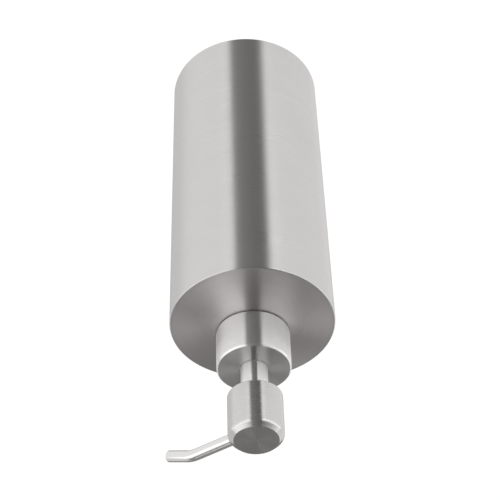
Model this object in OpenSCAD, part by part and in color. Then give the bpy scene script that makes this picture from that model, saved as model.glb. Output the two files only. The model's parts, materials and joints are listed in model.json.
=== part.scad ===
// Wall mounted soap dispenser: a brushed steel tube that hangs on a wall plate,
// with a push pump pointing down out of its base.
// Origin: middle of the wall plate's back face. The wall is the plane y = 0,
// the dispenser stands in front of it towards -Y, and +Z is up.

/* [Body] */
// Outer diameter of the body tube
body_d = 76; // [60:1:100]
// Height of the body tube
body_h = 165; // [130:1:220]
// Wall of the body tube
body_wall = 1.2; // [0.8:0.1:2]
// Radius rolled on the tube's lower outer edge
body_edge_r = 0.6; // [0.2:0.1:0.7]
// Thickness of the base disc
base_t = 1.5; // [1:0.1:3]
// Gap between the wall and the back of the tube
wall_gap = 8; // [7.5:0.5:20]
// Height of the tube's top above the middle of the wall plate
hang_drop = 70; // [48:1:80]

/* [Lid] */
// Thickness of the lid disc
lid_t = 1.5; // [1:0.1:3]
// Diameter of the lid's finger knob
lid_knob_d = 14; // [12:1:20]
// Height of the lid's finger knob
lid_knob_h = 9; // [7:0.5:15]
// Depth of the plug ring under the lid disc
lid_plug_h = 7; // [5:0.5:12]
// Diameter of the lid's vent hole
vent_d = 1.2; // [0.8:0.1:2]

/* [Wall mount] */
// Height of the wall plate
plate_h = 70; // [56:1:80]
// Width of the wall plate's front face
plate_w = 32; // [28:1:40]
// Thickness of the wall plate
plate_t = 4; // [3:0.5:5]
// How far each side edge of the wall plate is undercut
plate_undercut = 3; // [1:0.5:4]
// Distance between the two wall screw holes
screw_pitch = 44; // [30:1:46]
// Diameter of the wall screw holes
screw_hole_d = 4.8; // [4:0.1:5.5]
// Countersink diameter of the wall screw holes
screw_sink_d = 9.2; // [8:0.1:10]
// Width of the shoe on the tube's back
shoe_w = 44; // [42:1:56]
// Diameter of the lock screw
lock_d = 4; // [3:0.5:4]
// Length of the lock screw
lock_l = 5; // [4:0.5:6]

/* [Reservoir] */
// Wall of the inner reservoir
reservoir_wall = 2; // [1.5:0.1:3]
// Wall of the reservoir's neck
neck_wall = 3.4; // [3:0.1:3.6]
// Thickness of the gasket under the neck
gasket_t = 1; // [0.6:0.1:2]

/* [Pump] */
// How far the pump's axis lies behind the tube's axis, towards the wall
pump_set_back = 6.6; // [0:0.1:8]
// Stroke of the pump
stroke = 12.5; // [8:0.5:15]
// Distance left between collar and knob at full stroke
stroke_spare = 3.7; // [2:0.1:6]
// Outer diameter of the collar nut
collar_d = 34; // [33:0.5:42]
// Height of the collar from the base disc to its lower face
collar_h = 20.5; // [18:0.5:28]
// Thickness of the collar's floor
collar_floor = 6; // [5:0.5:8]
// Chamfer on the collar's lower edge
collar_chamfer = 0.7; // [0.3:0.1:1]
// Thickness of the washer between collar and base disc
washer_t = 0.5; // [0.4:0.1:1]
// Outer diameter of the stem sleeve
stem_d = 12.3; // [10:0.1:14.8]
// Outer diameter of the hollow piston rod
rod_d = 8; // [7.6:0.1:8.4]
// Bore of the hollow piston rod
rod_bore_d = 4; // [3:0.1:4.4]
// Wall of the pump cylinder
cylinder_wall = 1.8; // [1.2:0.1:2]
// Length of the piston
piston_l = 8; // [7:0.5:12]

/* [Springs and valves] */
// Wire diameter of the return spring
return_wire_d = 1; // [0.8:0.1:1.2]
// Turns of the return spring
return_turns = 7; // [5:1:8]
// Diameter of the inlet ball
inlet_ball_d = 6; // [5.6:0.1:6.2]
// Travel of the inlet ball
inlet_travel = 1.5; // [1:0.1:2]
// Diameter of the outlet ball
outlet_ball_d = 4.8; // [4.6:0.1:5]
// Travel of the outlet ball
outlet_travel = 1; // [0.6:0.1:1.2]
// Wire diameter of the outlet spring
outlet_wire_d = 0.4; // [0.3:0.05:0.5]
// Turns of the outlet spring
outlet_turns = 7; // [5:1:8]

/* [Knob and spout] */
// Outer diameter of the push knob
knob_d = 24.8; // [23:0.1:32]
// Height of the push knob
knob_h = 23.4; // [19.5:0.1:32]
// Chamfer on the knob's lower edge, along the face
knob_chamfer_w = 2.4; // [1:0.1:3]
// Chamfer on the knob's lower edge, along the side
knob_chamfer_h = 2.3; // [1:0.1:3]
// Wall of the knob shell
knob_wall = 1.5; // [1:0.1:2]
// Height of the spout's axis above the knob's lower face
spout_rise = 6; // [5.6:0.1:8]
// Outer diameter of the spout
spout_d = 5.3; // [4.5:0.1:6]
// Bore of the spout
spout_bore_d = 3.7; // [2.5:0.1:4]
// Distance from the pump's axis to the corner of the spout's bend
spout_reach = 34; // [24:0.5:60]
// Length of the spout's tip beyond the corner of its bend
spout_tip = 13.7; // [8:0.1:25]
// Angle by which the spout's tip rises
spout_bend = 22.7; // [5:0.1:60]
// Radius of the spout's bend, at the tube's axis
spout_bend_r = 14; // [8:0.5:20]
// Direction of the spout at rest, from +X towards +Y
spout_turn = 147.7; // [0:0.1:360]

/* [Clearances] */
// Radial clearance of a running fit
running = 0.05; // [0.02:0.01:0.1]
// Gap round pieces that drop in loosely
loose = 0.3; // [0.2:0.05:0.5]
// Clearance between the wall plate and the shoe
slide_gap = 0.25; // [0.15:0.05:0.4]
// Gap between the stem and the lip of the collar
lip_gap = 0.45; // [0.3:0.05:0.6]

/* [Hidden] */
$fn = 96;

// Body, measured from the underside of the base disc
body_r = body_d / 2;
body_in_r = body_r - body_wall;
body_y = -(wall_gap + body_r);
base_z = hang_drop - body_h;
reservoir_r = body_in_r - loose;
reservoir_in_r = reservoir_r - reservoir_wall;
floor_top = base_t + reservoir_wall;
lid_seat = body_h - lid_t;
lid_r = body_in_r - loose;
plug_r = reservoir_in_r - loose;
plug_in_r = plug_r - 3.2;
lid_ring_wire_r = 1;
lid_ring_r = reservoir_in_r - running - lid_ring_wire_r;
lid_ring_z = lid_seat - lid_plug_h / 2;
lid_knob_r = lid_knob_d / 2;
lid_screw_r = 2;
lid_screw_grip = 5;
lid_screw_head_r = 3.6;
lid_screw_head_h = 2.2;
vent_x = body_in_r / 2;
edge_break = 0.2;

// Wall mount
shoe_back = 0.6;
shoe_cover = 3;
shoe_low = -plate_h / 2 - shoe_cover;
shoe_high = plate_h / 2 + slide_gap + shoe_cover;
shoe_corner = 1.5;
shoe_grip = 1;
shoe_side_y = wall_gap + body_r - sqrt(body_r * body_r - shoe_w * shoe_w / 4);
lock_z = -plate_h / 2 + 5;
lock_socket_r = lock_d / 4;
lock_socket_depth = lock_l / 2;

// Pump, measured from the underside of the base disc on the pump's axis
pump_y = body_y + pump_set_back;
stem_r = stem_d / 2;
rod_r = rod_d / 2;
rod_bore_r = rod_bore_d / 2;
bore_r = stem_r + 1.45;
cylinder_r = bore_r + cylinder_wall;
neck_in_r = cylinder_r + 0.8;
neck_r = neck_in_r + neck_wall;
base_hole_r = neck_r + loose + 0.1;
collar_r = collar_d / 2;
collar_bore_r = neck_r + running;
shoulder_z = -(collar_h - collar_floor);
flange_t = 2;
flange_r = neck_r - 0.6;
neck_end = shoulder_z + flange_t + gasket_t;
lip_t = 1;
bush_wall = 2;
bush_in_r = stem_r + running;
bush_r = bush_in_r + bush_wall;
bush_flange_r = bush_r + 1.8;
bush_flange_t = 1.5;

// Rod guide and piston, at rest
sleeve_top = shoulder_z + 0.5;
guide_low = sleeve_top + stroke + 1.5;
guide_h = 6;
seal_h = 2.5;
seal_r = rod_r + 2;
guide_high = guide_low + guide_h;
piston_low = guide_high + 0.1;
piston_high = piston_low + piston_l;
piston_r = bore_r - loose - 0.1;
cup_low = piston_low + 2;
cup_h = 3.5;
cup_in_r = rod_r + 2;

// Return spring, inlet cage and the cylinder's closed end
spring_r = bore_r - 1.9;
spring_pressed = return_turns * return_wire_d + return_wire_d + 2.4;
spring_high = piston_high + stroke + spring_pressed;
cage_flange_t = 1;
cylinder_end = spring_high + cage_flange_t;
end_wall = 2;
inlet_r = inlet_ball_d / 2;
inlet_seat_r = inlet_r * 0.73;
cage_in_r = inlet_r + 0.2;
cage_r = cage_in_r + 1.1;
cage_hole_r = inlet_r * 0.6;
cage_floor = 1;
cage_slot = 1.6;
inlet_shut = cylinder_end - sqrt(inlet_r * inlet_r - inlet_seat_r * inlet_seat_r) - running;
inlet_rest = inlet_shut - inlet_travel;
cage_floor_top = inlet_rest - sqrt(inlet_r * inlet_r - cage_hole_r * cage_hole_r) - running / 2;

// Intake shroud
shroud_in_r = cylinder_r + 1.2;
shroud_wall = 1.2;
shroud_r = shroud_in_r + shroud_wall;
shroud_head = 5;
shroud_top = cylinder_end + end_wall + shroud_head;
shroud_slot_w = 7;
shroud_slot_h = 3;
shroud_rib_w = 1.2;

// Knob, at rest
knob_r = knob_d / 2;
knob_in_r = knob_r - knob_wall;
knob_high = -(collar_h + stroke + stroke_spare);
knob_low = knob_high - knob_h;
knob_floor = 1.8;
sleeve_in_r = rod_r + 0.6;
sleeve_flange = 1.2;
core_high = knob_high - sleeve_flange;
core_low = knob_low + knob_floor;
spout_z = knob_low + spout_rise;
rod_low = spout_z + 7.3;
bead_r = rod_r + 0.35;
bead_h = 1.2;
bead_low = rod_low + 1;
rod_ring_wire_r = 0.75;
rod_ring_r = rod_r + 0.1 + rod_ring_wire_r;
rod_ring_z = (bead_low + bead_h + core_high) / 2;

// Outlet valve in the knob's core
outlet_r = outlet_ball_d / 2;
outlet_rest = rod_low - sqrt(outlet_r * outlet_r - rod_bore_r * rod_bore_r) - running;
chamber_r = outlet_r + 0.9;
chamber_high = rod_low - 0.4;
chamber_low = core_low + 1;
outlet_spring_r = outlet_r - 0.8;
outlet_spring_high = outlet_rest - outlet_r;

// Spout
spout_r = spout_d / 2;
spout_bore_r = spout_bore_d / 2;
spout_start = chamber_r + 0.3;
spout_ring_wire_r = 0.6;
spout_ring_r = spout_r + spout_ring_wire_r;
spout_ring_x = knob_in_r - 2.5;

// ---------------------------------------------------------------- shapes

// A ring of rectangular section round Z
module ring(low, high, in_r, out_r) {
    translate([0, 0, low])
        difference() {
            cylinder(r = out_r, h = high - low);
            translate([0, 0, -1]) cylinder(r = in_r, h = high - low + 2);
        }
}

// An O-ring round Z, centred on z
module o_ring(z, mean_r, wire_r) {
    translate([0, 0, z])
        rotate_extrude()
            translate([mean_r, 0]) circle(r = wire_r, $fn = 32);
}

// Height of a spring's wire after t turns: one closed turn at each end, open ones between
function coil_z(t, turns, wire, length) =
    t < 1 ? wire / 2 + wire * t
    : t > turns - 1 ? length - wire / 2 - wire * (turns - t)
    : wire * 1.5 + (length - 3 * wire) * (t - 1) / (turns - 2);

// A helical compression spring standing from low to high
module coil(low, high, mean_r, wire, turns) {
    sides = 8;
    steps = 18;
    rings = turns * steps;
    points = [
        for (i = [0:rings], k = [0:sides - 1])
            let (t = i / steps, a = 360 * t, b = 360 * k / sides, r = mean_r + wire / 2 * cos(b))
            [r * cos(a), r * sin(a), coil_z(t, turns, wire, high - low) + wire / 2 * sin(b)]
    ];
    walls = [
        for (i = [0:rings - 1], k = [0:sides - 1])
            let (n = (k + 1) % sides, a = i * sides)
            [a + k, a + sides + k, a + sides + n, a + n]
    ];
    ends = [
        [for (k = [0:sides - 1]) k],
        [for (k = [sides - 1:-1:0]) rings * sides + k]
    ];
    translate([0, 0, low]) polyhedron(points = points, faces = concat(walls, ends), convexity = 10);
}

// Puts a piece on the body tube's axis, standing on the base disc's underside
module on_body() {
    translate([0, body_y, base_z]) children();
}

// Puts a piece on the pump's axis, at the same height
module on_pump() {
    translate([0, pump_y, base_z]) children();
}

// ---------------------------------------------------------------- wall mount

// Outline of the wall plate's section, grown by gap on its sides and front
module dovetail(gap, back) {
    slope = plate_undercut / plate_t;
    polygon([
        [-plate_w / 2 - gap, -plate_t - gap],
        [plate_w / 2 + gap, -plate_t - gap],
        [plate_w / 2 - slope * (plate_t + gap + back) + gap, back],
        [-plate_w / 2 + slope * (plate_t + gap + back) - gap, back]
    ]);
}

module wall_plate() {
    color("silver")
        difference() {
            translate([0, 0, -plate_h / 2]) linear_extrude(plate_h) dovetail(0, 0);
            for (side = [-1, 1])
                translate([0, 0, side * screw_pitch / 2]) rotate([90, 0, 0]) {
                    translate([0, 0, -1]) cylinder(d = screw_hole_d, h = plate_t + 2);
                    translate([0, 0, plate_t - (screw_sink_d - screw_hole_d) / 2])
                        cylinder(d1 = screw_hole_d, d2 = screw_sink_d, h = (screw_sink_d - screw_hole_d) / 2);
                }
        }
}

module mounting_shoe() {
    front = -shoe_side_y - shoe_grip;
    color("silver")
        difference() {
            translate([0, 0, shoe_low])
                linear_extrude(shoe_high - shoe_low)
                    polygon([
                        [-shoe_w / 2 + shoe_corner, -shoe_back],
                        [shoe_w / 2 - shoe_corner, -shoe_back],
                        [shoe_w / 2, -shoe_back - shoe_corner],
                        [shoe_w / 2, front],
                        [-shoe_w / 2, front],
                        [-shoe_w / 2, -shoe_back - shoe_corner]
                    ]);
            translate([0, body_y, shoe_low - 1]) cylinder(r = body_r, h = shoe_high - shoe_low + 2, $fn = 180);
            translate([0, 0, shoe_low - 1])
                linear_extrude(plate_h / 2 + slide_gap - shoe_low + 1) dovetail(slide_gap, 1);
            translate([plate_w / 2 - 1, -plate_t / 2 - shoe_back / 2, lock_z])
                rotate([0, 90, 0]) cylinder(d = lock_d, h = shoe_w);
        }
}

module lock_screw() {
    color("dimgray")
        translate([plate_w / 2 + running, -plate_t / 2 - shoe_back / 2, lock_z])
            rotate([0, 90, 0])
                difference() {
                    cylinder(d = lock_d, h = lock_l);
                    translate([0, 0, lock_l - lock_socket_depth])
                        cylinder(r = lock_socket_r, h = lock_socket_depth + 1, $fn = 6);
                }
}

// ---------------------------------------------------------------- body

module body_tube() {
    color("silver")
        on_body()
            rotate_extrude($fn = 180)
                difference() {
                    translate([body_in_r, 0]) square([body_wall, body_h]);
                    difference() {
                        translate([body_r - body_edge_r, -1]) square([body_edge_r + 1, body_edge_r + 1]);
                        translate([body_r - body_edge_r, body_edge_r]) circle(r = body_edge_r, $fn = 48);
                    }
                    translate([body_r, body_h]) rotate(45) square(edge_break * sqrt(2), center = true);
                }
}

module base_disc() {
    color("silver")
        on_body()
            difference() {
                cylinder(r = body_in_r, h = base_t, $fn = 180);
                translate([0, pump_set_back, -1]) cylinder(r = base_hole_r, h = base_t + 2);
            }
}

module reservoir() {
    color("whitesmoke")
        difference() {
            union() {
                on_body() translate([0, 0, base_t]) cylinder(r = reservoir_r, h = lid_seat - base_t, $fn = 180);
                on_pump() translate([0, 0, neck_end]) cylinder(r = neck_r, h = base_t - neck_end + 1);
            }
            on_body() translate([0, 0, floor_top]) cylinder(r = reservoir_in_r, h = body_h, $fn = 180);
            on_pump() translate([0, 0, neck_end - 1]) cylinder(r = neck_in_r, h = floor_top - neck_end + 2);
        }
}

// ---------------------------------------------------------------- lid

module lid_disc() {
    color("silver")
        on_body()
            difference() {
                translate([0, 0, lid_seat]) cylinder(r = lid_r, h = lid_t, $fn = 180);
                translate([0, 0, lid_seat - 1]) cylinder(r = lid_screw_r, h = lid_t + 2);
                translate([vent_x, 0, lid_seat - 1]) cylinder(d = vent_d, h = lid_t + 2);
            }
}

module lid_knob() {
    waist_r = lid_knob_r - 1.8;
    cap_h = 3;
    color("silver")
        on_body()
            translate([0, 0, body_h])
                difference() {
                    rotate_extrude()
                        polygon([
                            [0, 0], [waist_r + 0.8, 0], [waist_r, 1], [waist_r, lid_knob_h - cap_h - 1.2],
                            [lid_knob_r, lid_knob_h - cap_h], [lid_knob_r, lid_knob_h - 0.8],
                            [lid_knob_r - 0.8, lid_knob_h], [0, lid_knob_h]
                        ]);
                    translate([0, 0, -1]) cylinder(r = lid_screw_r, h = lid_screw_grip + 1);
                }
}

module lid_screw() {
    color("dimgray")
        on_body()
            difference() {
                union() {
                    translate([0, 0, lid_seat]) cylinder(r = lid_screw_r, h = lid_t + lid_screw_grip - loose);
                    translate([0, 0, lid_seat - lid_screw_head_h])
                        cylinder(r = lid_screw_head_r, h = lid_screw_head_h);
                }
                translate([0, 0, lid_seat - lid_screw_head_h - 1])
                    cylinder(r = lid_screw_r * 0.75, h = 1 + lid_screw_head_h * 0.7, $fn = 6);
            }
}

module lid_plug() {
    color("white")
        on_body()
            difference() {
                ring(lid_seat - lid_plug_h, lid_seat, plug_in_r, plug_r, $fn = 180);
                ring(lid_ring_z - lid_ring_wire_r - 0.1, lid_ring_z + lid_ring_wire_r + 0.1,
                     lid_ring_r - lid_ring_wire_r, plug_r + 1, $fn = 180);
            }
}

module lid_o_ring() {
    color("dimgray") on_body() o_ring(lid_ring_z, lid_ring_r, lid_ring_wire_r, $fn = 180);
}

// ---------------------------------------------------------------- collar

module collar_washer() {
    color("dimgray") on_pump() ring(-washer_t, 0, base_hole_r, collar_r - 0.4);
}

module collar_nut() {
    color("silver")
        on_pump()
            difference() {
                rotate_extrude()
                    polygon([
                        [0, -collar_h], [collar_r - collar_chamfer, -collar_h],
                        [collar_r, -collar_h + collar_chamfer], [collar_r, -washer_t - edge_break],
                        [collar_r - edge_break, -washer_t], [0, -washer_t]
                    ]);
                translate([0, 0, shoulder_z]) cylinder(r = collar_bore_r, h = collar_h);
                translate([0, 0, shoulder_z - bush_flange_t]) cylinder(r = bush_flange_r, h = collar_h);
                translate([0, 0, -collar_h + lip_t]) cylinder(r = bush_r, h = collar_h);
                translate([0, 0, -collar_h - 1]) cylinder(r = stem_r + lip_gap, h = collar_h);
            }
}

module guide_bush() {
    color("ivory")
        on_pump() {
            difference() {
                union() {
                    translate([0, 0, -collar_h + lip_t]) cylinder(r = bush_r, h = collar_floor - lip_t);
                    translate([0, 0, shoulder_z - bush_flange_t]) cylinder(r = bush_flange_r, h = bush_flange_t);
                }
                translate([0, 0, -collar_h]) cylinder(r = bush_in_r, h = collar_floor + 1);
            }
        }
}

module neck_gasket() {
    color("dimgray") on_pump() ring(neck_end - gasket_t, neck_end, neck_in_r, flange_r);
}

// ---------------------------------------------------------------- pump

module pump_cylinder() {
    color("white")
        on_pump()
            difference() {
                union() {
                    translate([0, 0, shoulder_z]) cylinder(r = flange_r, h = flange_t);
                    translate([0, 0, shoulder_z]) cylinder(r = cylinder_r, h = cylinder_end + end_wall - shoulder_z);
                }
                translate([0, 0, shoulder_z - 1]) cylinder(r = bore_r, h = cylinder_end - shoulder_z + 1);
                cylinder(r = inlet_seat_r, h = cylinder_end + end_wall + 1);
            }
}

module intake_shroud() {
    color("white")
        on_pump() {
            difference() {
                translate([0, 0, floor_top]) cylinder(r = shroud_r, h = shroud_top + shroud_wall - floor_top);
                translate([0, 0, floor_top - 1]) cylinder(r = shroud_in_r, h = shroud_top - floor_top + 1);
                for (turn = [0, 90])
                    rotate(turn)
                        translate([-shroud_r - 1, -shroud_slot_w / 2, floor_top - 1])
                            cube([2 * shroud_r + 2, shroud_slot_w, shroud_slot_h + 1]);
            }
            for (turn = [45:120:285])
                rotate(turn)
                    intersection() {
                        ring(floor_top + 2 * shroud_slot_h, cylinder_end, cylinder_r, shroud_in_r + 0.2);
                        translate([0, -shroud_rib_w / 2, 0]) cube([shroud_r, shroud_rib_w, shroud_top]);
                    }
        }
}

module inlet_cage() {
    low = cage_floor_top - cage_floor;
    color("ivory")
        on_pump()
            difference() {
                union() {
                    translate([0, 0, low]) cylinder(r = cage_r, h = cylinder_end - low);
                    translate([0, 0, spring_high]) cylinder(r = bore_r - running, h = cage_flange_t);
                }
                translate([0, 0, cage_floor_top]) cylinder(r = cage_in_r, h = cylinder_end);
                translate([0, 0, low - 1]) cylinder(r = cage_hole_r, h = cylinder_end);
                for (turn = [0:120:240])
                    rotate(turn)
                        translate([0, -cage_slot / 2, low - 1])
                            cube([cage_r + 1, cage_slot, spring_high - low]);
            }
}

module inlet_ball() {
    color("gray") on_pump() translate([0, 0, inlet_rest]) sphere(r = inlet_r, $fn = 48);
}

module rod_guide() {
    color("ivory")
        on_pump()
            difference() {
                translate([0, 0, guide_low]) cylinder(r = bore_r, h = guide_h);
                translate([0, 0, guide_low - 1]) cylinder(r = rod_r + running, h = guide_h + 2);
                translate([0, 0, guide_high - seal_h]) cylinder(r = seal_r, h = seal_h + 1);
            }
}

module rod_seal() {
    color("dimgray") on_pump() ring(guide_high - seal_h, guide_high, rod_r + running, seal_r);
}

module return_spring() {
    color("gray") on_pump() coil(piston_high, spring_high, spring_r, return_wire_d, return_turns);
}

// ---------------------------------------------------------------- plunger

module piston() {
    color("ivory")
        on_pump()
            difference() {
                ring(piston_low, piston_high, rod_r, piston_r);
                ring(cup_low, cup_low + cup_h, cup_in_r, piston_r + 1);
            }
}

module piston_seal() {
    color("dimgray") on_pump() ring(cup_low, cup_low + cup_h, cup_in_r, bore_r - running);
}

module piston_rod() {
    color("ivory")
        on_pump()
            difference() {
                union() {
                    translate([0, 0, rod_low]) cylinder(r = rod_r, h = piston_high - rod_low);
                    translate([0, 0, bead_low]) cylinder(r = bead_r, h = bead_h);
                }
                translate([0, 0, rod_low - 1]) cylinder(r = rod_bore_r, h = piston_high - rod_low + 2);
            }
}

// ---------------------------------------------------------------- knob

module stem_sleeve() {
    color("silver")
        on_pump()
            difference() {
                union() {
                    translate([0, 0, knob_high]) cylinder(r = stem_r, h = sleeve_top - knob_high);
                    translate([0, 0, core_high]) cylinder(r = knob_in_r, h = sleeve_flange);
                }
                translate([0, 0, core_high - 1]) cylinder(r = sleeve_in_r, h = sleeve_top - core_high + 2);
            }
}

module knob_shell() {
    color("silver")
        on_pump()
            difference() {
                rotate_extrude()
                    polygon([
                        [0, knob_low], [knob_r - knob_chamfer_w, knob_low],
                        [knob_r, knob_low + knob_chamfer_h], [knob_r, knob_high - edge_break],
                        [knob_r - edge_break, knob_high], [0, knob_high]
                    ]);
                translate([0, 0, core_low]) cylinder(r = knob_in_r, h = knob_h);
                rotate(spout_turn) translate([0, 0, spout_z]) rotate([0, 90, 0]) cylinder(r = spout_r, h = knob_d);
            }
}

module knob_core() {
    color("ivory")
        on_pump()
            difference() {
                translate([0, 0, core_low]) cylinder(r = knob_in_r, h = core_high - core_low);
                translate([0, 0, chamber_high]) cylinder(r = rod_r + running, h = knob_h);
                ring(bead_low - 0.3, bead_low + bead_h + 0.3, 0, bead_r + running);
                ring(rod_ring_z - rod_ring_wire_r - 0.1, rod_ring_z + rod_ring_wire_r + 0.1,
                     0, rod_ring_r + rod_ring_wire_r);
                translate([0, 0, chamber_low]) cylinder(r = chamber_r, h = chamber_high - chamber_low + 0.1);
                rotate(spout_turn)
                    translate([0, 0, spout_z])
                        rotate([0, 90, 0]) {
                            cylinder(r = spout_r, h = knob_d);
                            translate([0, 0, spout_ring_x - spout_ring_wire_r - 0.1])
                                cylinder(r = spout_ring_r + spout_ring_wire_r, h = 2 * spout_ring_wire_r + 0.2);
                        }
            }
}

module rod_o_ring() {
    color("dimgray") on_pump() o_ring(rod_ring_z, rod_ring_r, rod_ring_wire_r);
}

module outlet_ball() {
    color("gray") on_pump() translate([0, 0, outlet_rest]) sphere(r = outlet_r, $fn = 48);
}

module outlet_spring() {
    color("gray") on_pump() coil(chamber_low, outlet_spring_high, outlet_spring_r, outlet_wire_d, outlet_turns);
}

// Stations along the spout's axis, each [distance out, height, slope]
function spout_stations() =
    let (straight = spout_reach - spout_bend_r * tan(spout_bend / 2),
         tip = spout_tip - spout_bend_r * tan(spout_bend / 2),
         steps = 10)
    concat(
        [[spout_start, 0, 0]],
        [
            for (i = [0:steps])
                let (a = spout_bend * i / steps)
                [straight + spout_bend_r * sin(a), spout_bend_r * (1 - cos(a)), a]
        ],
        [[
            straight + spout_bend_r * sin(spout_bend) + tip * cos(spout_bend),
            spout_bend_r * (1 - cos(spout_bend)) + tip * sin(spout_bend),
            spout_bend
        ]]
    );

// Points of a circle of radius r round each station
function spout_rings(r, sides) = [
    for (s = spout_stations(), k = [0:sides - 1])
        let (b = 360 * k / sides)
        [s.x - r * sin(b) * sin(s.z), r * cos(b), s.y + r * sin(b) * cos(s.z)]
];

module spout_tube() {
    sides = 32;
    last = len(spout_stations()) - 1;
    inner = (last + 1) * sides;
    outside = [
        for (i = [0:last - 1], k = [0:sides - 1])
            let (n = (k + 1) % sides, a = i * sides)
            [a + k, a + sides + k, a + sides + n, a + n]
    ];
    inside = [for (f = outside) [for (j = [3:-1:0]) f[j] + inner]];
    ends = [
        for (k = [0:sides - 1], i = [0, last])
            let (n = (k + 1) % sides, a = i * sides)
            i == 0 ? [a + k, a + n, inner + a + n, inner + a + k]
            : [a + n, a + k, inner + a + k, inner + a + n]
    ];
    color("lightgray")
        on_pump()
            rotate(spout_turn)
                translate([0, 0, spout_z])
                    polyhedron(
                        points = concat(spout_rings(spout_r, sides), spout_rings(spout_bore_r, sides)),
                        faces = concat(outside, inside, ends),
                        convexity = 4
                    );
}

module spout_o_ring() {
    color("dimgray")
        on_pump()
            rotate(spout_turn)
                translate([0, 0, spout_z])
                    rotate([0, 90, 0]) o_ring(spout_ring_x, spout_ring_r, spout_ring_wire_r);
}

// ---------------------------------------------------------------- pieces

wall_plate();
mounting_shoe();
lock_screw();
body_tube();
base_disc();
reservoir();
lid_disc();
lid_knob();
lid_screw();
lid_plug();
lid_o_ring();
collar_washer();
collar_nut();
guide_bush();
neck_gasket();
pump_cylinder();
intake_shroud();
inlet_cage();
inlet_ball();
rod_guide();
rod_seal();
return_spring();
piston();
piston_seal();
piston_rod();
stem_sleeve();
knob_shell();
knob_core();
rod_o_ring();
outlet_ball();
outlet_spring();
spout_tube();
spout_o_ring();
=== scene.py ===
# Wall mounted soap dispenser: brushed steel tube on a wall plate, with a push pump in its base.
# The sections follow the order in which the dispenser is put together, from the wall outwards.
import json
from math import atan2, cos, pi, radians, sin, tan

import bmesh
import bpy
from mathutils import Matrix, Vector


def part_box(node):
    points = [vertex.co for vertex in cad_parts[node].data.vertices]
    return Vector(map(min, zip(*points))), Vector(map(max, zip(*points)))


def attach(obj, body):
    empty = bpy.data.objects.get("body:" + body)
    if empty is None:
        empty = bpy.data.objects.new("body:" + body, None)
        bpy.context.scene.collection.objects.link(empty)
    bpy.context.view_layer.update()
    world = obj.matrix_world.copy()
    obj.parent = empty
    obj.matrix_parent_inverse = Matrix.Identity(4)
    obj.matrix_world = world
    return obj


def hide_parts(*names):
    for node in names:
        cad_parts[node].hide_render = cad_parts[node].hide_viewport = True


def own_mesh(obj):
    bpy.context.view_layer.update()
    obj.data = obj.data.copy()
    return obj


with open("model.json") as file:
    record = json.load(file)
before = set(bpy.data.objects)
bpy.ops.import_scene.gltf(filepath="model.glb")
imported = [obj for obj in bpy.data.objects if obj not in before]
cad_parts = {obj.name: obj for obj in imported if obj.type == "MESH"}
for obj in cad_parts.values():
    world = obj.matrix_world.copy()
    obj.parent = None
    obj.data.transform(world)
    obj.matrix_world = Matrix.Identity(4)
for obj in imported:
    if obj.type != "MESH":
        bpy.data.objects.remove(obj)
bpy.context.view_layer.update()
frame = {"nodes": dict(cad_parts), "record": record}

# ---------------------------------------------------------------- wall plate
# Milled stainless plate with undercut side edges, screwed to the wall through two
# countersunk holes. Its faces are ground in straight lines, and its edges are broken.

MM = 0.001

def new_material(name):
    """An empty node material with its shader, and a short way to add and join nodes."""
    material = bpy.data.materials.new(name)
    material.use_nodes = True
    tree = material.node_tree
    shader = tree.nodes["Principled BSDF"]

    def add(kind, inputs=None, **settings):
        node = tree.nodes.new(kind)
        for key, value in settings.items():
            setattr(node, key, value)
        for key, value in (inputs or {}).items():
            if isinstance(value, bpy.types.NodeSocket):
                tree.links.new(value, node.inputs[key])
            else:
                node.inputs[key].default_value = value
        return node

    def join(output, socket):
        tree.links.new(output, shader.inputs[socket])

    return material, shader, add, join


def spread(add, value, low, high, to_low, to_high):
    """Stretches a noise value from low..high to to_low..to_high."""
    return add("ShaderNodeMapRange", {
        "Value": value, "From Min": low, "From Max": high, "To Min": to_low, "To Max": to_high,
    }).outputs["Result"]


def shade_of(add, factor, dark, light):
    """Mixes two greys or colours by a factor."""
    mix = add("ShaderNodeMix", data_type="RGBA")
    mix.inputs["A"].default_value = (*dark, 1)
    mix.inputs["B"].default_value = (*light, 1)
    mix.id_data.links.new(factor, mix.inputs["Factor"])
    return mix.outputs["Result"]


def ground_steel(name, grain=(1, 1, 1), colour=(0.52, 0.515, 0.505), rough=0.34):
    """Stainless steel ground in straight lines; grain is small along the lines."""
    material, shader, add, join = new_material(name)
    place = add("ShaderNodeTexCoord").outputs["Object"]
    lines = add("ShaderNodeMapping", {"Vector": place, "Scale": grain}).outputs["Vector"]
    fine = add("ShaderNodeTexNoise", {"Vector": lines, "Scale": 2600, "Detail": 4}).outputs["Fac"]
    broad = add("ShaderNodeTexNoise", {"Vector": lines, "Scale": 260, "Detail": 3}).outputs["Fac"]
    smear = add("ShaderNodeTexNoise", {"Vector": place, "Scale": 55, "Detail": 3}).outputs["Fac"]
    both = add("ShaderNodeMath", {0: fine, 1: broad}, operation="MULTIPLY").outputs[0]
    shader.inputs["Metallic"].default_value = 1
    dark = tuple(c * 0.88 for c in colour)
    light = tuple(c * 1.06 for c in colour)
    join(shade_of(add, spread(add, both, 0.12, 0.4, 0, 1), dark, light), "Base Color")
    worn = spread(add, smear, 0.3, 0.7, rough - 0.05, rough + 0.06)
    scored = spread(add, fine, 0.3, 0.7, -0.04, 0.04)
    join(add("ShaderNodeMath", {0: worn, 1: scored}).outputs[0], "Roughness")
    relief = add("ShaderNodeBump", {"Height": both, "Strength": 0.25, "Distance": 0.02 * MM})
    join(relief.outputs["Normal"], "Normal")
    return material


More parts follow.
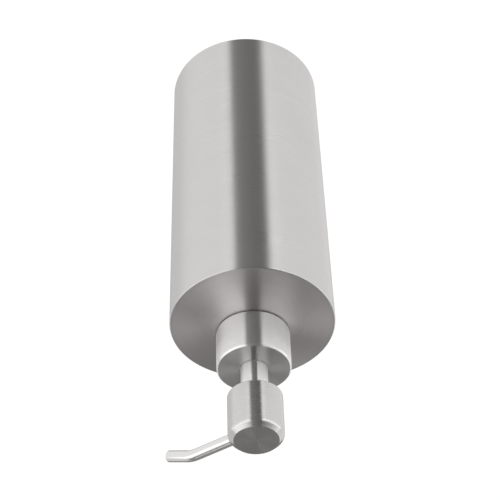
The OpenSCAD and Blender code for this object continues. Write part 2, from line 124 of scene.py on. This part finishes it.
def piece(name, bm, node, material, sharp_over=35, all_smooth=True):
    """Makes an object of a bmesh, which stands for a CAD node and rides on its body."""
    if all_smooth:
        for face in bm.faces:
            face.smooth = True
    for edge in bm.edges:
        edge.smooth = edge.calc_face_angle(0) <= radians(sharp_over)
    mesh = bpy.data.meshes.new(name)
    bm.to_mesh(mesh)
    bm.free()
    mesh.materials.append(material)
    obj = bpy.data.objects.new(name, mesh)
    bpy.context.scene.collection.objects.link(obj)
    record = frame["record"]
    bodies = record["behaviour"]["bodies"]
    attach(obj, next(body for body, nodes in bodies.items() if node in nodes))
    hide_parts(node)
    return obj


def finished_copy(name, node, material, edge=0.2 * MM, segments=2):
    """A copy of a CAD node with its triangles merged and its edges broken."""
    bm = bmesh.new()
    bm.from_mesh(frame["nodes"][node].data)
    bmesh.ops.remove_doubles(bm, verts=bm.verts, dist=0.001 * MM)
    bmesh.ops.dissolve_limit(bm, angle_limit=radians(0.4), verts=bm.verts, edges=bm.edges)
    # A face that meets a neighbour at a small angle is part of a round surface; the rest are flat.
    flat_limit = radians(0.5)
    round_limit = radians(25)
    sharp = [e for e in bm.edges if e.calc_face_angle(0) > round_limit]
    for face in bm.faces:
        face.smooth = any(flat_limit < e.calc_face_angle(0) < round_limit for e in face.edges)
    broken = bmesh.ops.bevel(bm, geom=sharp, offset=edge, offset_type="OFFSET", affect="EDGES",
                             segments=segments, profile=0.5, material=-1, clamp_overlap=True)
    for face in broken["faces"]:
        face.smooth = True
    bmesh.ops.triangulate(bm, faces=[f for f in bm.faces if len(f.verts) > 4])
    return piece(name, bm, node, material, all_smooth=False)


plate_steel = ground_steel("plate ground steel", grain=(1, 1, 0.02))
finished_copy("plate", "wall_plate", plate_steel, edge=0.25 * MM)

# ---------------------------------------------------------------- shoe and lock screw
# Stainless block welded to the tube's back. Its groove slides down over the wall plate,
# and a socket screw in its side holds it there.

shoe_steel = ground_steel("shoe ground steel", grain=(1, 1, 0.02), colour=(0.5, 0.495, 0.485))
finished_copy("shoe", "mounting_shoe", shoe_steel, edge=0.4 * MM, segments=3)
screw_steel = ground_steel("screw steel", colour=(0.34, 0.335, 0.33), rough=0.3)
finished_copy("locking_screw", "lock_screw", screw_steel, edge=0.1 * MM)

# ---------------------------------------------------------------- body tube and base
# Thin stainless tube with a disc welded flush into its lower end. Both are brushed while
# they turn, so the grain runs round them and light spreads across it.


def centre_of(node):
    """The upright axis of a round node, as (x, y)."""
    low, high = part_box(node)
    return (low.x + high.x) / 2, (low.y + high.y) / 2


def rounded(corners, arc_steps=5, lead=0.12 * MM):
    """A profile of (radius, height) points from corners (radius, height, rounding)."""
    points = []
    count = len(corners)
    for i, (r, z, size) in enumerate(corners):
        here = Vector((r, z))
        if not size:
            points.append(here)
            continue
        back = (Vector(corners[i - 1][:2]) - here).normalized()
        ahead = (Vector(corners[(i + 1) % count][:2]) - here).normalized()
        half = back.angle(ahead) / 2
        reach = size / tan(half)
        centre = here + (back + ahead).normalized() * size / sin(half)
        first = here + back * reach
        last = here + ahead * reach
        a = atan2(*(first - centre).yx)
        turn = (atan2(*(last - centre).yx) - a + pi) % (2 * pi) - pi
        points.append(first + back * lead)
        for k in range(arc_steps + 1):
            angle = a + turn * k / arc_steps
            points.append(centre + Vector((cos(angle), sin(angle))) * size)
        points.append(last + ahead * lead)
    return points


def turned(name, node, corners, material, axis, steps=192, sharp_over=35):
    """Spins a closed outline round an upright axis into a solid piece."""
    bm = bmesh.new()
    verts = [bm.verts.new((axis[0] + r, axis[1], z)) for r, z in rounded(corners)]
    on_axis = [abs(r) < 1e-7 for r, z in rounded(corners)]
    edges = [bm.edges.new((verts[i - 1], verts[i])) for i in range(len(verts))
             if not (on_axis[i - 1] and on_axis[i])]
    bmesh.ops.spin(bm, geom=verts + edges, cent=(*axis, 0), axis=(0, 0, 1), angle=2 * pi,
                   steps=steps, use_merge=True, use_duplicate=False)
    bmesh.ops.remove_doubles(bm, verts=bm.verts, dist=0.0005 * MM)
    bmesh.ops.recalc_face_normals(bm, faces=bm.faces)
    return piece(name, bm, node, material, sharp_over)


def brushed_round(name, axis, colour=(0.606, 0.598, 0.593), rough=0.27, stretch=0.85, grain=0.035,
                  relief=0.05, ends=1):
    """Stainless steel brushed while it turns on an axis: the grain runs round it, and its flat ends get
    painted shade.
    """
    material, shader, add, join = new_material(name)
    place = add("ShaderNodeTexCoord").outputs["Object"]
    to_axis = (-axis[0], -axis[1], 0)
    centred = add("ShaderNodeMapping", {"Vector": place, "Location": to_axis}).outputs["Vector"]
    parts = add("ShaderNodeSeparateXYZ", {"Vector": centred}).outputs
    flat = add("ShaderNodeCombineXYZ", {"X": parts["X"], "Y": parts["Y"]}).outputs["Vector"]
    radius = add("ShaderNodeVectorMath", {0: flat}, operation="LENGTH").outputs["Value"]
    around = add("ShaderNodeVectorMath", {0: flat}, operation="NORMALIZE").outputs["Vector"]
    across = add("ShaderNodeMath", {
        0: radius, 1: 1.37, 2: parts["Z"],
    }, operation="MULTIPLY_ADD").outputs[0]

    def lines(along, over, detail):
        """Noise that is long round the piece and short across it."""
        turned_way = add("ShaderNodeVectorMath", {
            0: around, "Scale": along,
        }, operation="SCALE").outputs["Vector"]
        up = add("ShaderNodeMath", {0: across, 1: over}, operation="MULTIPLY").outputs[0]
        up_way = add("ShaderNodeCombineXYZ", {"Z": up}).outputs["Vector"]
        both = add("ShaderNodeVectorMath", {0: turned_way, 1: up_way}, operation="ADD").outputs["Vector"]
        return add("ShaderNodeTexNoise", {"Vector": both, "Scale": 1, "Detail": detail}).outputs["Fac"]

    fine = lines(5, 9000, 3)
    middle = lines(2.5, 2200, 3)
    broad = lines(1.2, 300, 2)
    smear = add("ShaderNodeTexNoise", {"Vector": place, "Scale": 40, "Detail": 3}).outputs["Fac"]
    threads = add("ShaderNodeMath", {0: fine, 1: 0.5, 2: middle}, operation="MULTIPLY_ADD").outputs[0]
    shader.inputs["Metallic"].default_value = 1
    dark = tuple(c * (1 - grain) for c in colour)
    light = tuple(c * (1 + grain * 0.6) for c in colour)
    sheen = shade_of(add, spread(add, threads, 0.5, 1.0, 0, 1), dark, light)

    # Painted shade: the colour of the flat ends, which face up or down, is darkened by the factor ends.
    normal = add("ShaderNodeTexCoord").outputs["Normal"]
    facing = add("ShaderNodeSeparateXYZ", {"Vector": normal}).outputs["Z"]
    flatness = add("ShaderNodeMath", {0: facing}, operation="ABSOLUTE").outputs[0]
    painted_face_shade = spread(add, flatness, 0.85, 0.98, 1, ends)
    face_shaded_colour = add("ShaderNodeVectorMath", {0: sheen, "Scale": painted_face_shade}, operation="SCALE").outputs["Vector"]
    join(face_shaded_colour, "Base Color")
    base = spread(add, smear, 0.3, 0.7, rough - 0.02, rough + 0.02)
    varied = add("ShaderNodeMath", {0: spread(add, broad, 0.3, 0.7, -0.02, 0.02), 1: base}).outputs[0]
    scored = spread(add, threads, 0.5, 1.0, -0.02, 0.02)
    join(add("ShaderNodeMath", {0: scored, 1: varied}).outputs[0], "Roughness")
    shader.inputs["Anisotropic"].default_value = stretch
    shader.inputs["Anisotropic Rotation"].default_value = 0.25
    round_it = add("ShaderNodeVectorMath", {0: around, 1: (0, 0, 1)}, operation="CROSS_PRODUCT")
    join(round_it.outputs["Vector"], "Tangent")
    bump = add("ShaderNodeBump", {"Height": threads, "Strength": relief, "Distance": 0.02 * MM})
    join(bump.outputs["Normal"], "Normal")
    return material


tube_axis = centre_of("body_tube")
tube_low, tube_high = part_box("body_tube")
tube_r = (tube_high.x - tube_low.x) / 2
base_low, base_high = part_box("base_disc")
base_r = (base_high.x - base_low.x) / 2
tube_edge = 0.6 * MM
tube_steel = brushed_round("tube brushed steel", tube_axis, rough=0.3)
turned("tube", "body_tube", [
    (base_r, tube_low.z, 0), (tube_r, tube_low.z, tube_edge),
    (tube_r, tube_high.z, 0.25 * MM), (base_r, tube_high.z, 0.15 * MM),
], tube_steel, tube_axis, steps=320)

# The disc has a round hole off its centre for the pump's neck, so it starts as two
# circles, bridged on both faces and joined by the hole's wall and the rim.
base_steel = brushed_round("base turned steel", tube_axis, colour=(0.622, 0.602, 0.595), rough=0.36,
                           stretch=0.96, grain=0.06)
pump_axis = centre_of("collar_nut")
washer_low, washer_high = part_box("collar_washer")


def disc_with_hole(name, node, low, high, outer_r, hole_r, hole_axis, material, steps=256):
    """A flat disc on the tube's axis with an upright hole on another axis."""
    bm = bmesh.new()
    loops = []
    for z in (low, high):
        for r, axis in ((outer_r, tube_axis), (hole_r, hole_axis)):
            place = Matrix.Translation((*axis, z))
            made = bmesh.ops.create_circle(bm, cap_ends=False, radius=r, segments=steps, matrix=place)
            loops.append(list({e for v in made["verts"] for e in v.link_edges}))
    rim_low, hole_low, rim_high, hole_high = loops
    bmesh.ops.bridge_loops(bm, edges=rim_low + hole_low)
    bmesh.ops.bridge_loops(bm, edges=rim_high + hole_high)
    bmesh.ops.bridge_loops(bm, edges=rim_low + rim_high)
    bmesh.ops.bridge_loops(bm, edges=hole_low + hole_high)
    bmesh.ops.recalc_face_normals(bm, faces=bm.faces)
    return piece(name, bm, node, material)


washer_width = 2 * MM
base_hole_r = (washer_high.x - washer_low.x) / 2 - washer_width
disc_with_hole("base", "base_disc", base_low.z, base_high.z, base_r, base_hole_r, pump_axis, base_steel)

# ---------------------------------------------------------------- inner plastics
# The reservoir is a moulded bottle with its neck down through the base. The pump's
# plastic pieces and the intake shroud are moulded too, and keep their exact shapes.


def moulded(name, colour, rough=0.42, skin=900):
    """Moulded plastic: an even colour with a faint flow, and a fine texture from the mould."""
    material, shader, add, join = new_material(name)
    place = add("ShaderNodeTexCoord").outputs["Object"]
    flow = add("ShaderNodeTexNoise", {"Vector": place, "Scale": 35, "Detail": 3}).outputs["Fac"]
    grain = add("ShaderNodeTexNoise", {"Vector": place, "Scale": skin, "Detail": 3}).outputs["Fac"]
    dark = tuple(c * 0.94 for c in colour)
    join(shade_of(add, spread(add, flow, 0.3, 0.7, 0, 1), dark, colour), "Base Color")
    join(spread(add, grain, 0.3, 0.7, rough - 0.06, rough + 0.06), "Roughness")
    bump = add("ShaderNodeBump", {"Height": grain, "Strength": 0.15, "Distance": 0.03 * MM})
    join(bump.outputs["Normal"], "Normal")
    shader.inputs["IOR"].default_value = 1.49
    return material


def coat(material, *nodes):
    """Gives CAD nodes whose shape is right their material."""
    for node in nodes:
        slots = frame["nodes"][node].data.materials
        slots.clear()
        slots.append(material)


white_plastic = moulded("white moulded plastic", (0.82, 0.82, 0.8))
ivory_plastic = moulded("ivory moulded plastic", (0.74, 0.72, 0.64))
coat(white_plastic, "reservoir", "pump_cylinder", "intake_shroud")
coat(ivory_plastic, "inlet_cage", "rod_guide", "piston", "piston_rod", "knob_core", "guide_bush")

# ---------------------------------------------------------------- seals
# Black rubber rings, one at each joint that soap or air could pass.


def rubber(name):
    """Black rubber with a dusty bloom."""
    material, shader, add, join = new_material(name)
    place = add("ShaderNodeTexCoord").outputs["Object"]
    bloom = add("ShaderNodeTexNoise", {"Vector": place, "Scale": 300, "Detail": 4}).outputs["Fac"]
    dusty = spread(add, bloom, 0.3, 0.7, 0, 1)
    join(shade_of(add, dusty, (0.012, 0.012, 0.012), (0.03, 0.03, 0.031)), "Base Color")
    join(spread(add, bloom, 0.3, 0.7, 0.5, 0.68), "Roughness")
    bump = add("ShaderNodeBump", {"Height": bloom, "Strength": 0.2, "Distance": 0.03 * MM})
    join(bump.outputs["Normal"], "Normal")
    return material


black_rubber = rubber("black rubber")
coat(black_rubber, "lid_o_ring", "collar_washer", "neck_gasket", "rod_seal", "piston_seal", "rod_o_ring",
     "spout_o_ring")

# ---------------------------------------------------------------- springs and balls
# Drawn stainless wire and polished balls. Each spring gets a mesh of its own.

wire_steel = ground_steel("drawn wire", colour=(0.5, 0.5, 0.49), rough=0.25)
ball_steel = ground_steel("polished ball", colour=(0.6, 0.6, 0.59), rough=0.08)
coat(wire_steel, "return_spring", "outlet_spring")
coat(ball_steel, "inlet_ball", "outlet_ball")
for spring, joint in (("return_spring", "pump_press"), ("outlet_spring", "outlet_ball_drop")):
    spring_low, spring_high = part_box(spring)
    length = spring_high.z - spring_low.z
    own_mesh(frame["nodes"][spring])

# ---------------------------------------------------------------- lid
# Turned stainless disc that drops into the tube's top on a plastic plug with an O-ring.
# A small turned knob is screwed on from below.

lid_steel = brushed_round("lid turned steel", tube_axis, rough=0.36, stretch=0.9)
grip_low, grip_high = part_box("lid_knob")
grip_r = (grip_high.x - grip_low.x) / 2
waist_r = grip_r - 1.8 * MM
foot_r = waist_r + 0.8 * MM
foot_top = grip_low.z + 1 * MM
cap_h = 3 * MM
cap_slope_h = 1.2 * MM
cap_chamfer = 0.8 * MM
screw_r = 2 * MM
screw_top = grip_low.z + 5 * MM
finished_copy("lid_plate", "lid_disc", lid_steel, edge=0.12 * MM)
turned("lid_grip", "lid_knob", [
    (0, screw_top, 0), (screw_r, screw_top, 0), (screw_r, grip_low.z, 0),
    (foot_r, grip_low.z, 0.2 * MM), (waist_r, foot_top, 0.4 * MM),
    (waist_r, grip_high.z - cap_h - cap_slope_h, 0.8 * MM), (grip_r, grip_high.z - cap_h, 0.4 * MM),
    (grip_r, grip_high.z - cap_chamfer, 0.3 * MM), (grip_r - cap_chamfer, grip_high.z, 0.3 * MM),
    (0, grip_high.z, 0),
], lid_steel, tube_axis, steps=128)
finished_copy("lid_fixing", "lid_screw", screw_steel, edge=0.12 * MM)
coat(white_plastic, "lid_plug")

# ---------------------------------------------------------------- collar
# Turned stainless nut that holds the pump up against the neck. A thin washer keeps it
# off the base, and its lower edge has a small bright chamfer.

# Painted light: this steel's colour is much brighter than the tube's, standing in for the light the base
# blocks from below. Its face also gets painted shade by the factor ends.
collar_painted_bright_steel = brushed_round("collar turned steel painted bright", pump_axis, colour=(0.9, 0.895, 0.89), rough=0.32,
                             stretch=1, ends=0.62)
collar_low, collar_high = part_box("collar_nut")
collar_r = (collar_high.x - collar_low.x) / 2
collar_chamfer = 0.7 * MM
thread_r = 13.65 * MM
flange_r = 10 * MM
flange_h = 1.5 * MM
bush_r = 8.2 * MM
stem_r = 6.15 * MM
hole_r = stem_r + 0.45 * MM
shoulder = collar_low.z + 6 * MM
lip_top = collar_low.z + 1 * MM
turned("collar", "collar_nut", [
    (hole_r, collar_low.z, 0.12 * MM), (collar_r - collar_chamfer, collar_low.z, 0.15 * MM),
    (collar_r, collar_low.z + collar_chamfer, 0.15 * MM), (collar_r, collar_high.z, 0.2 * MM),
    (thread_r, collar_high.z, 0.1 * MM), (thread_r, shoulder, 0), (flange_r, shoulder, 0),
    (flange_r, shoulder - flange_h, 0), (bush_r, shoulder - flange_h, 0),
    (bush_r, lip_top, 0), (hole_r, lip_top, 0),
], collar_painted_bright_steel, pump_axis, steps=192)

# ---------------------------------------------------------------- stem sleeve
# Drawn stainless sleeve that covers the piston rod. Its flange closes the knob's top.

sleeve_low, sleeve_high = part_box("stem_sleeve")
sleeve_flange_r = (sleeve_high.x - sleeve_low.x) / 2
sleeve_flange_top = sleeve_low.z + 1.2 * MM
sleeve_bore_r = 4.6 * MM
# The sleeve shares the collar's steel, with its painted brightness.
turned("sleeve", "stem_sleeve", [
    (sleeve_bore_r, sleeve_low.z, 0), (sleeve_flange_r, sleeve_low.z, 0),
    (sleeve_flange_r, sleeve_flange_top, 0.1 * MM), (stem_r, sleeve_flange_top, 0.15 * MM),
    (stem_r, sleeve_high.z, 0.2 * MM), (sleeve_bore_r, sleeve_high.z, 0),
], collar_painted_bright_steel, pump_axis, steps=160)

# ---------------------------------------------------------------- push knob
# Turned stainless cap over a plastic core. Its face has fine turning rings, and its
# lower edge is chamfered.

shell_low, shell_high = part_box("knob_shell")
shell_r = (shell_high.x - shell_low.x) / 2
shell_wall = 1.5 * MM
shell_floor = 1.8 * MM
chamfer_w = 2.4 * MM
chamfer_h = 2.3 * MM
# The knob's face gets painted shade by the factor ends.
knob_steel = brushed_round("knob turned steel", pump_axis, rough=0.27, stretch=0.85, ends=0.78)
turned("knob", "knob_shell", [
    (0, shell_low.z, 0), (shell_r - chamfer_w, shell_low.z, 0.25 * MM),
    (shell_r, shell_low.z + chamfer_h, 2.4 * MM), (shell_r, shell_high.z, 0.2 * MM),
    (shell_r - shell_wall, shell_high.z, 0.1 * MM), (shell_r - shell_wall, shell_low.z + shell_floor, 0),
    (0, shell_low.z + shell_floor, 0),
], knob_steel, pump_axis, steps=192)

# ---------------------------------------------------------------- spout
# Thin stainless tube, bent once by about a quarter of a right angle and polished, with
# its end cut square and its rim rounded.

spout_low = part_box("spout_tube")[0]
spout_r = 2.65 * MM
spout_bore_r = 1.85 * MM
spout_start = 3.6 * MM
spout_reach = 34 * MM
spout_tip = 13.7 * MM
spout_bend = radians(22.7)
bend_r = 14 * MM
spout_turn = radians(147.7)
lost = bend_r * tan(spout_bend / 2)
along_tip = Vector((cos(spout_bend), 0, sin(spout_bend)))


def drawn_steel(name):
    """Thin tube polished along its length, with faint draw marks."""
    material, shader, add, join = new_material(name)
    place = add("ShaderNodeTexCoord").outputs["Object"]
    lengthwise = add("ShaderNodeMapping", {
        "Vector": place, "Rotation": (0, 0, -spout_turn), "Scale": (0.03, 1, 1),
    }, vector_type="TEXTURE").outputs["Vector"]
    marks = add("ShaderNodeTexNoise", {"Vector": lengthwise, "Scale": 1500, "Detail": 3}).outputs["Fac"]
    smear = add("ShaderNodeTexNoise", {"Vector": place, "Scale": 180, "Detail": 3}).outputs["Fac"]
    shader.inputs["Metallic"].default_value = 1
    streaks = spread(add, marks, 0.3, 0.7, 0, 1)
    join(shade_of(add, streaks, (0.69, 0.684, 0.68), (0.75, 0.743, 0.739)), "Base Color")
    join(spread(add, smear, 0.3, 0.7, 0.17, 0.24), "Roughness")
    bump = add("ShaderNodeBump", {"Height": marks, "Strength": 0.05, "Distance": 0.01 * MM})
    join(bump.outputs["Normal"], "Normal")
    return material


# The outer wall and the bore are grown from two circles along the same way, then joined at
# both ends.
bm = bmesh.new()
ends = []
for r in (spout_r, spout_bore_r):
    upright = Matrix.Translation((spout_start, 0, 0)) @ Matrix.Rotation(pi / 2, 4, "Y")
    made = bmesh.ops.create_circle(bm, cap_ends=False, radius=r, segments=64, matrix=upright)
    loop = list({e for v in made["verts"] for e in v.link_edges})
    first = loop
    for stage in ("straight", "bend", "tip"):
        if stage == "bend":
            made = bmesh.ops.spin(bm, geom=loop, cent=(spout_reach - lost, 0, bend_r), axis=(0, -1, 0),
                                  angle=spout_bend, steps=16, use_merge=False, use_duplicate=False)
            grown = made["geom_last"]
        else:
            grown = bmesh.ops.extrude_edge_only(bm, edges=loop)["geom"]
            along = Vector((1, 0, 0)) if stage == "straight" else along_tip
            length = spout_reach - lost - spout_start if stage == "straight" else spout_tip - lost
            moved = [v for v in grown if isinstance(v, bmesh.types.BMVert)]
            bmesh.ops.translate(bm, vec=along * length, verts=moved)
        loop = [e for e in grown if isinstance(e, bmesh.types.BMEdge)]
    ends.append((first, loop))
(root_outer, rim_outer), (root_inner, rim_inner) = ends
bmesh.ops.bridge_loops(bm, edges=root_outer + root_inner)
bmesh.ops.bridge_loops(bm, edges=rim_outer + rim_inner)
bmesh.ops.remove_doubles(bm, verts=bm.verts, dist=0.0005 * MM)
bmesh.ops.recalc_face_normals(bm, faces=bm.faces)
bmesh.ops.bevel(bm, geom=rim_outer + rim_inner, offset=0.3 * MM, offset_type="OFFSET", affect="EDGES",
                segments=4, profile=0.5, material=-1)
where = Matrix.Translation((*pump_axis, spout_low.z + spout_r)) @ Matrix.Rotation(spout_turn, 4, "Z")
bmesh.ops.transform(bm, matrix=where, verts=bm.verts)
piece("spout", bm, "spout_tube", drawn_steel("spout polished steel"), sharp_over=60)

# ---------------------------------------------------------------- floor, light and camera
# The dispenser hangs on its wall well above a pale floor. Two tall soft boxes stand left
# and right, with a dark gap between them in front.


def soft_box(name, width, height, glow, place):
    """A flat soft box that shines along its own -Z, as evenly bright as glow says."""
    light = bpy.data.lights.new(name, "AREA")
    light.shape = "RECTANGLE"
    light.size = width
    light.size_y = height
    light.energy = glow * pi * width * height
    obj = bpy.data.objects.new(name, light)
    obj.matrix_world = place
    obj.visible_camera = False
    bpy.context.scene.collection.objects.link(obj)
    return obj


def tall_box(name, start, stop, low, high, glow, distance=1.6):
    """An upright soft box facing the dispenser, between two directions in degrees from the front."""
    ends = [Vector((*tube_axis, 0)) + Vector((sin(radians(a)), -cos(radians(a)), 0)) * distance
            for a in (start, stop)]
    along = (ends[1] - ends[0]).normalized()
    above = Vector((0, 0, 1))
    facing = Matrix((along, above, along.cross(above))).transposed().to_4x4()
    middle = (ends[0] + ends[1]) / 2 + above * (low + high) / 2
    soft_box(name, (ends[1] - ends[0]).length, high - low, glow, Matrix.Translation(middle) @ facing)


tall_box("left_box", -108, -20.5, -1.5, 4, 0.76)
tall_box("left_edge_box", -36, -20.5, -1.5, 4, 0.1)
tall_box("right_box", 24, 108, -0.8, 1.5, 0.84)
tall_box("upper_right_box", 32, 108, 1.5, 4, 0.78)
tall_box("right_edge_box", 24, 40, -0.8, 4, 0.14)
tall_box("front_top_box", -20.5, 26, 2.2, 4, 0.15)
tall_box("back_left_box", -154, -108, -1.3, 4, 0.52)
tall_box("back_right_box", 108, 154, -1.3, 4, 0.7)
tall_box("low_left_box", -108, -20.5, -1.2, -0.3, 0.57, distance=0.9)
tall_box("low_right_box", 24, 108, -0.65, -0.25, 1.1, distance=0.9)
upwards = Matrix.Rotation(pi, 4, "X")
soft_box("floor_box", 0.42, 0.9, 0.7, Matrix.Translation((-0.36, 0.3, -1.5)) @ upwards)

# One wide box overhead lights the floor and the plastics; the steel doesn't mirror it.
overhead = soft_box("overhead_box", 8, 8, 2.4, Matrix.Translation((0, 0, 3.5)))
overhead.visible_glossy = False

# The room is white to the eye. In the steel it is a grey that darkens towards the front right.
bpy.context.scene.view_settings.view_transform = "Standard"
world = bpy.data.worlds.new("studio")
bpy.context.scene.world = world
world.use_nodes = True
tree = world.node_tree
seen = tree.nodes.new("ShaderNodeLightPath").outputs["Is Camera Ray"]
backdrop = tree.nodes["Background"]
backdrop.inputs["Color"].default_value = (1, 1, 1, 1)
backdrop.inputs["Strength"].default_value = 1.05
room = tree.nodes.new("ShaderNodeBackground")
way = tree.nodes.new("ShaderNodeSeparateXYZ")
tree.links.new(tree.nodes.new("ShaderNodeTexCoord").outputs["Generated"], way.inputs["Vector"])
walls = tree.nodes.new("ShaderNodeMix")
for axis, first, last, dim, bright, target in (
    ("X", -0.3, 0.3, 0.29, 0.15, "A"), ("X", -0.5, 0.5, 0.29, 0.33, "B"), ("Y", 0, 0.6, 0, 1, "Factor"),
):
    blend = tree.nodes.new("ShaderNodeMapRange")
    tree.links.new(way.outputs[axis], blend.inputs["Value"])
    blend.inputs["From Min"].default_value = first
    blend.inputs["From Max"].default_value = last
    blend.inputs["To Min"].default_value = dim
    blend.inputs["To Max"].default_value = bright
    tree.links.new(blend.outputs["Result"], walls.inputs[target])
tree.links.new(walls.outputs["Result"], room.inputs["Strength"])
room.inputs["Color"].default_value = (1, 0.985, 0.98, 1)
choose = tree.nodes.new("ShaderNodeMixShader")
tree.links.new(seen, choose.inputs["Fac"])
tree.links.new(room.outputs[0], choose.inputs[1])
tree.links.new(backdrop.outputs[0], choose.inputs[2])
tree.links.new(choose.outputs[0], tree.nodes["World Output"].inputs["Surface"])

floor_drop = Matrix.Translation((0, 0, -1.55))
bm = bmesh.new()
bmesh.ops.create_circle(bm, cap_ends=True, radius=6, segments=96, matrix=floor_drop)
mesh = bpy.data.meshes.new("floor")
bm.to_mesh(mesh)
bm.free()
floor_paint, shader, add, join = new_material("pale floor")
place = add("ShaderNodeTexCoord").outputs["Object"]
cloud = add("ShaderNodeTexNoise", {"Vector": place, "Scale": 3, "Detail": 4}).outputs["Fac"]
clouded = spread(add, cloud, 0.3, 0.7, 0, 1)
join(shade_of(add, clouded, (0.76, 0.76, 0.75), (0.8, 0.8, 0.79)), "Base Color")
shader.inputs["Roughness"].default_value = 0.7
mesh.materials.append(floor_paint)
floor = bpy.data.objects.new("floor", mesh)
bpy.context.scene.collection.objects.link(floor)
floor.visible_glossy = False

# The camera looks up from below and in front, turned a little on its own axis.
camera_data = bpy.data.cameras.new("camera")
camera = bpy.data.objects.new("camera", camera_data)
bpy.context.scene.collection.objects.link(camera)
bpy.context.scene.camera = camera
camera_data.sensor_width = 36
camera_data.lens = 98.6
camera_data.clip_start = 0.01
camera_place = Vector((*tube_axis, base_low.z)) + Vector((0, -0.47184, -0.41302))
tilt, roll = radians(44.34), radians(-1.953)
forward = Vector((0, cos(tilt), sin(tilt)))
right = Vector((1, 0, 0))
up = right.cross(forward)
turned_right = right * cos(roll) + up * sin(roll)
turned_up = up * cos(roll) - right * sin(roll)
camera.matrix_world = (
    Matrix.Translation(camera_place) @ Matrix((turned_right, turned_up, -forward)).transposed().to_4x4()
)
